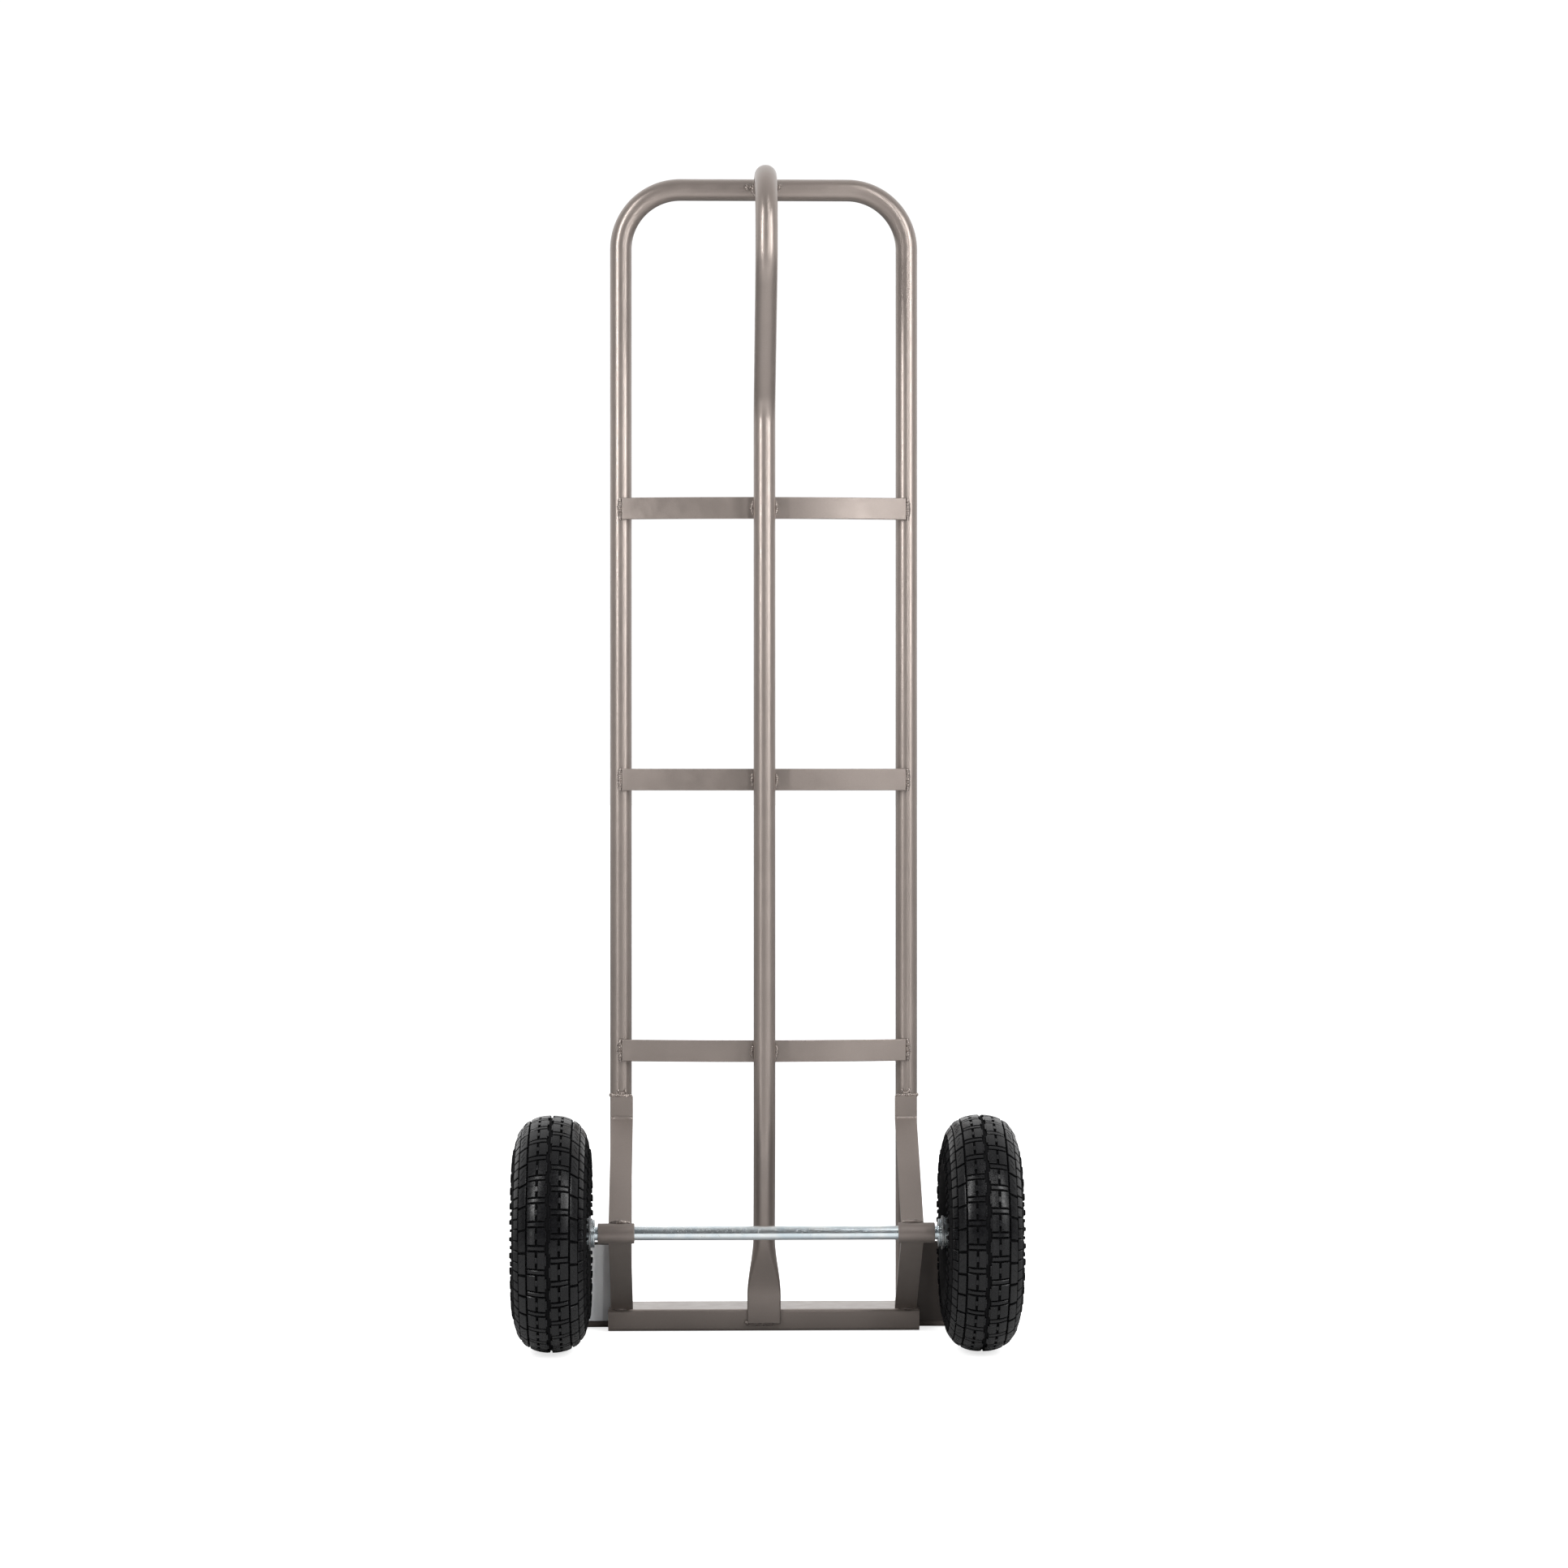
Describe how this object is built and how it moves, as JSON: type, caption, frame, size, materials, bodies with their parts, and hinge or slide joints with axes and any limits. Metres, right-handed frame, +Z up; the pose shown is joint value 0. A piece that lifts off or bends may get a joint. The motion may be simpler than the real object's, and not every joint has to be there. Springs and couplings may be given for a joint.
{
  "type": "chair dolly",
  "caption": "Upright tube-frame hand dolly for stacks of chairs, with a P-shaped handle, bowed crossbars, a toe plate with wheel guards and pneumatic wheels.",
  "frame": {"origin": "on the floor, in the middle of the overall width and depth", "axes": "+Z up along the rails; +Y towards the toe plate and the load, -Y towards the operator; +X to the right of a person who stands behind the dolly"},
  "size_m": [0.575, 0.497, 1.3535],
  "materials": {
    "satin_taupe_paint": "satin metallic taupe paint",
    "zinc_plate": "bright zinc plate",
    "tyre_rubber": "matt black rubber",
    "tube_rubber": "matt black rubber",
    "rim_steel": "zinc-plated pressed sheet",
    "bearing_steel": "ground steel",
    "cap_plastic": "matt black plastic"
  },
  "bodies": {
    "frame": {"outer_frame": "satin_taupe_paint", "base_bar": "satin_taupe_paint", "lower_crossbar": "satin_taupe_paint", "middle_crossbar": "satin_taupe_paint", "upper_crossbar": "satin_taupe_paint", "centre_post_handle": "satin_taupe_paint", "toe_plate": "satin_taupe_paint", "left_axle_sleeve": "satin_taupe_paint", "left_upper_strut": "satin_taupe_paint", "left_lower_strut": "satin_taupe_paint", "right_axle_sleeve": "satin_taupe_paint", "right_upper_strut": "satin_taupe_paint", "right_lower_strut": "satin_taupe_paint", "axle": "zinc_plate", "left_inner_washer": "zinc_plate", "left_hub_washer": "zinc_plate", "left_outer_washer": "zinc_plate", "left_cotter_pin": "zinc_plate", "right_inner_washer": "zinc_plate", "right_hub_washer": "zinc_plate", "right_outer_washer": "zinc_plate", "right_cotter_pin": "zinc_plate"},
    "left_wheel": {"left_tyre": "tyre_rubber", "left_inner_tube": "tube_rubber", "left_rim_inner_half": "rim_steel", "left_rim_outer_half": "rim_steel", "left_hub": "zinc_plate", "left_inner_bearing": "bearing_steel", "left_outer_bearing": "bearing_steel", "left_valve_stem": "tube_rubber", "left_valve_cap": "cap_plastic", "left_rim_bolt_1": "zinc_plate", "left_rim_bolt_2": "zinc_plate", "left_rim_bolt_3": "zinc_plate", "left_rim_bolt_4": "zinc_plate", "left_rim_nut_1": "zinc_plate", "left_rim_nut_2": "zinc_plate", "left_rim_nut_3": "zinc_plate", "left_rim_nut_4": "zinc_plate"},
    "right_wheel": {"right_tyre": "tyre_rubber", "right_inner_tube": "tube_rubber", "right_rim_inner_half": "rim_steel", "right_rim_outer_half": "rim_steel", "right_hub": "zinc_plate", "right_inner_bearing": "bearing_steel", "right_outer_bearing": "bearing_steel", "right_valve_stem": "tube_rubber", "right_valve_cap": "cap_plastic", "right_rim_bolt_1": "zinc_plate", "right_rim_bolt_2": "zinc_plate", "right_rim_bolt_3": "zinc_plate", "right_rim_bolt_4": "zinc_plate", "right_rim_nut_1": "zinc_plate", "right_rim_nut_2": "zinc_plate", "right_rim_nut_3": "zinc_plate", "right_rim_nut_4": "zinc_plate"}
  },
  "joints": [
    {"name": "left_wheel_spin", "type": "hinge", "parent": "frame", "child": "left_wheel", "pos_m": [-0.243, -0.115, 0.1335], "axis": [1, 0, 0], "continuous": true},
    {"name": "right_wheel_spin", "type": "hinge", "parent": "frame", "child": "right_wheel", "pos_m": [0.243, -0.115, 0.1335], "axis": [1, 0, 0], "continuous": true}
  ]
}
